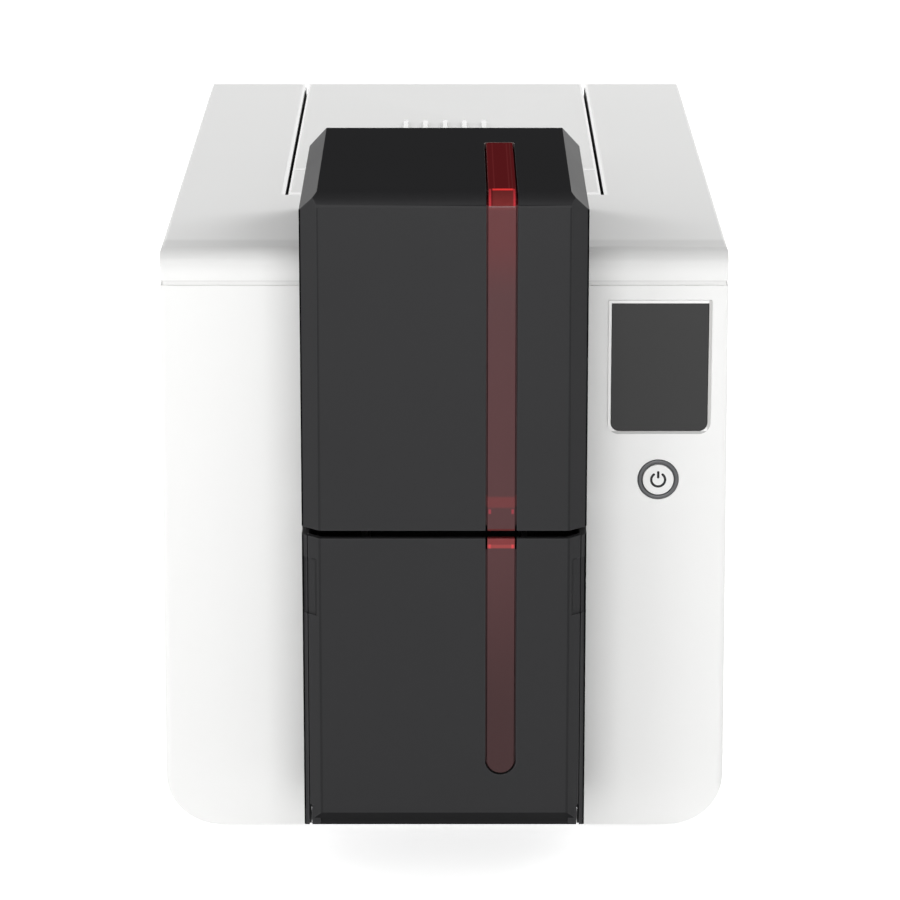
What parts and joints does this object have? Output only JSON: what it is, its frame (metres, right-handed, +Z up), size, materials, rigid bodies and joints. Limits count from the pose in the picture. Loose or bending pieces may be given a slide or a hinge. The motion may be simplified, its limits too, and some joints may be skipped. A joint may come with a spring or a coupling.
{
  "type": "id card printer",
  "caption": "Desktop id card printer: white body with hinged lid and touch screen, black card feeder hood and output door on the front.",
  "frame": {"origin": "on the table under the middle of the overall box", "axes": "+Z up, +X to the right seen from the front, the front with the feeder faces -Y"},
  "size_m": [0.2048, 0.381, 0.2485],
  "materials": {
    "white_housing": "satin moulded",
    "black_cover": "fine satin moulded",
    "red_window": "smoked translucent",
    "black_frame": "moulded",
    "screen_glass": "polished",
    "grey_trim": "satin",
    "zinc_steel": "zinc plated",
    "ground_steel": "ground",
    "bronze_bush": "sintered",
    "roller_rubber": "ground",
    "cleaning_rubber": "tacky",
    "belt_rubber": "moulded",
    "foot_rubber": "moulded",
    "motor_case": "satin",
    "gear_white": "moulded",
    "ribbon": "film",
    "cassette_blue": "moulded",
    "sink_aluminium": "extruded",
    "head_block": "glazed ceramic",
    "board_green": "lacquered",
    "socket_black": "moulded",
    "fan_black": "moulded"
  },
  "bodies": {
    "printer": {"lower_housing": "white_housing", "top_housing": "white_housing", "base_pan": "zinc_steel", "rubber_feet": "foot_rubber", "side_plate_left": "zinc_steel", "side_plate_right": "zinc_steel", "tie_rods": "ground_steel", "shaft_bushes": "bronze_bush", "feeder_frame": "black_frame", "output_bin": "black_cover", "screen_bezel": "grey_trim", "touch_screen": "screen_glass", "button_ring": "grey_trim", "circuit_boards": "board_green", "power_socket": "socket_black", "data_sockets": "zinc_steel", "rear_panel": "zinc_steel", "fan_frame": "fan_black", "drive_motor": "motor_case", "drive_belt": "belt_rubber", "feed_belt": "belt_rubber", "ribbon_motor": "motor_case", "lid_hinge_pins": "ground_steel", "hood_hinge_pins": "ground_steel", "door_hinge_pins": "ground_steel", "cassette_frame": "cassette_blue", "ribbon_film": "ribbon"},
    "lid": {"lid_cover": "white_housing", "lid_frame": "black_frame", "print_head": "head_block", "heat_sink": "sink_aluminium"},
    "release_bar": {"release_bar": "white_housing"},
    "hood": {"feeder_hood": "black_cover", "hood_window": "red_window"},
    "door": {"output_door": "black_cover", "door_window": "red_window"},
    "power_button": {"power_button": "white_housing"},
    "card_weight": {"card_weight": "black_frame"},
    "gauge_slide": {"gauge_slide": "grey_trim"},
    "rear_flap": {"rear_flap": "white_housing"},
    "diverter_flap": {"diverter_flap": "black_frame"},
    "motor_drive": {"motor_pulley": "ground_steel"},
    "infeed": {"infeed_roller": "roller_rubber", "infeed_shaft": "ground_steel"},
    "support": {"support_roller": "roller_rubber", "support_shaft": "ground_steel"},
    "platen": {"platen_roller": "roller_rubber", "platen_shaft": "ground_steel"},
    "rear_drive": {"rear_roller": "roller_rubber", "rear_shaft": "ground_steel"},
    "pick": {"pick_roller": "roller_rubber", "pick_shaft": "ground_steel"},
    "front_pinch": {"front_pinch_roller": "roller_rubber"},
    "rear_pinch": {"rear_pinch_roller": "roller_rubber"},
    "cleaning": {"cleaning_roller": "cleaning_rubber"},
    "takeup": {"takeup_spool": "ribbon", "takeup_gear": "gear_white"},
    "ribbon_pinion": {"ribbon_pinion": "gear_white"},
    "supply": {"supply_spool": "ribbon"},
    "fan": {"fan_rotor": "fan_black"}
  },
  "joints": [
    {"name": "lid_hinge", "type": "hinge", "parent": "printer", "child": "lid", "pos_m": [0, 0.182, 0.1995], "axis": [-1, 0, 0], "range_deg": [0, 80]},
    {"name": "hood_hinge", "type": "hinge", "parent": "printer", "child": "hood", "pos_m": [0, -0.08, 0.232], "axis": [-1, 0, 0], "range_deg": [0, 65]},
    {"name": "door_hinge", "type": "hinge", "parent": "printer", "child": "door", "pos_m": [0, -0.181, 0.0224], "axis": [1, 0, 0], "range_deg": [0, 80]},
    {"name": "release_bar_hinge", "type": "hinge", "parent": "printer", "child": "release_bar", "pos_m": [0, -0.044, 0.2123], "axis": [-1, 0, 0], "range_deg": [0, 4], "stiffness_Nm_per_rad": 0.6, "springref_deg": -8.59},
    {"name": "power_button_press", "type": "slide", "parent": "printer", "child": "power_button", "axis": [0, 1, 0], "range_m": [0, 0.0012], "stiffness_N_per_m": 800, "springref_m": -0.0005},
    {"name": "card_weight_lift", "type": "slide", "parent": "printer", "child": "card_weight", "axis": [0, 0, 1], "range_m": [0, 0.045]},
    {"name": "gauge_slide_shift", "type": "slide", "parent": "printer", "child": "gauge_slide", "axis": [-1, 0, 0], "range_m": [0, 0.009]},
    {"name": "rear_flap_hinge", "type": "hinge", "parent": "printer", "child": "rear_flap", "pos_m": [0, 0.18925, 0.1355], "axis": [-1, 0, 0], "range_deg": [0, 90]},
    {"name": "diverter_flap_hinge", "type": "hinge", "parent": "printer", "child": "diverter_flap", "pos_m": [0, -0.084, 0.143], "axis": [1, 0, 0], "range_deg": [0, 22]},
    {"name": "motor_spin", "type": "hinge", "parent": "printer", "child": "motor_drive", "pos_m": [0, 0.04, 0.1037], "axis": [1, 0, 0], "continuous": true},
    {"name": "infeed_spin", "type": "hinge", "parent": "printer", "child": "infeed", "pos_m": [0, -0.03, 0.1437], "axis": [1, 0, 0], "continuous": true},
    {"name": "support_spin", "type": "hinge", "parent": "printer", "child": "support", "pos_m": [0, 0.008, 0.1437], "axis": [1, 0, 0], "continuous": true},
    {"name": "platen_spin", "type": "hinge", "parent": "printer", "child": "platen", "pos_m": [0, 0.062, 0.1437], "axis": [1, 0, 0], "continuous": true},
    {"name": "rear_roller_spin", "type": "hinge", "parent": "printer", "child": "rear_drive", "pos_m": [0, 0.11, 0.1437], "axis": [1, 0, 0], "continuous": true},
    {"name": "pick_spin", "type": "hinge", "parent": "printer", "child": "pick", "pos_m": [0, -0.125, 0.1422], "axis": [1, 0, 0], "continuous": true},
    {"name": "front_pinch_spin", "type": "hinge", "parent": "printer", "child": "front_pinch", "pos_m": [0, -0.03, 0.1557], "axis": [1, 0, 0], "continuous": true},
    {"name": "rear_pinch_spin", "type": "hinge", "parent": "printer", "child": "rear_pinch", "pos_m": [0, 0.11, 0.1557], "axis": [1, 0, 0], "continuous": true},
    {"name": "cleaning_spin", "type": "hinge", "parent": "printer", "child": "cleaning", "pos_m": [0, 0.008, 0.1575], "axis": [1, 0, 0], "continuous": true},
    {"name": "takeup_spin", "type": "hinge", "parent": "printer", "child": "takeup", "pos_m": [0, 0.028, 0.176], "axis": [1, 0, 0], "continuous": true},
    {"name": "ribbon_pinion_spin", "type": "hinge", "parent": "printer", "child": "ribbon_pinion", "pos_m": [0, 0.00996, 0.16943], "axis": [1, 0, 0], "continuous": true},
    {"name": "supply_spin", "type": "hinge", "parent": "printer", "child": "supply", "pos_m": [0, 0.098, 0.176], "axis": [1, 0, 0], "continuous": true},
    {"name": "fan_spin", "type": "hinge", "parent": "printer", "child": "fan", "pos_m": [0, 0.18, 0.0935], "axis": [0, 1, 0], "continuous": true}
  ],
  "couplings": [
    {"joint": "motor_spin", "follows": "infeed_spin", "ratio": 1},
    {"joint": "support_spin", "follows": "infeed_spin", "ratio": 1},
    {"joint": "platen_spin", "follows": "infeed_spin", "ratio": 1},
    {"joint": "rear_roller_spin", "follows": "infeed_spin", "ratio": 1},
    {"joint": "pick_spin", "follows": "infeed_spin", "ratio": 0.8},
    {"joint": "front_pinch_spin", "follows": "infeed_spin", "ratio": -1.25},
    {"joint": "rear_pinch_spin", "follows": "infeed_spin", "ratio": -1.25},
    {"joint": "cleaning_spin", "follows": "infeed_spin", "ratio": -0.92857},
    {"joint": "ribbon_pinion_spin", "follows": "takeup_spin", "ratio": -3},
    {"joint": "supply_spin", "follows": "takeup_spin", "ratio": 0.73333}
  ]
}
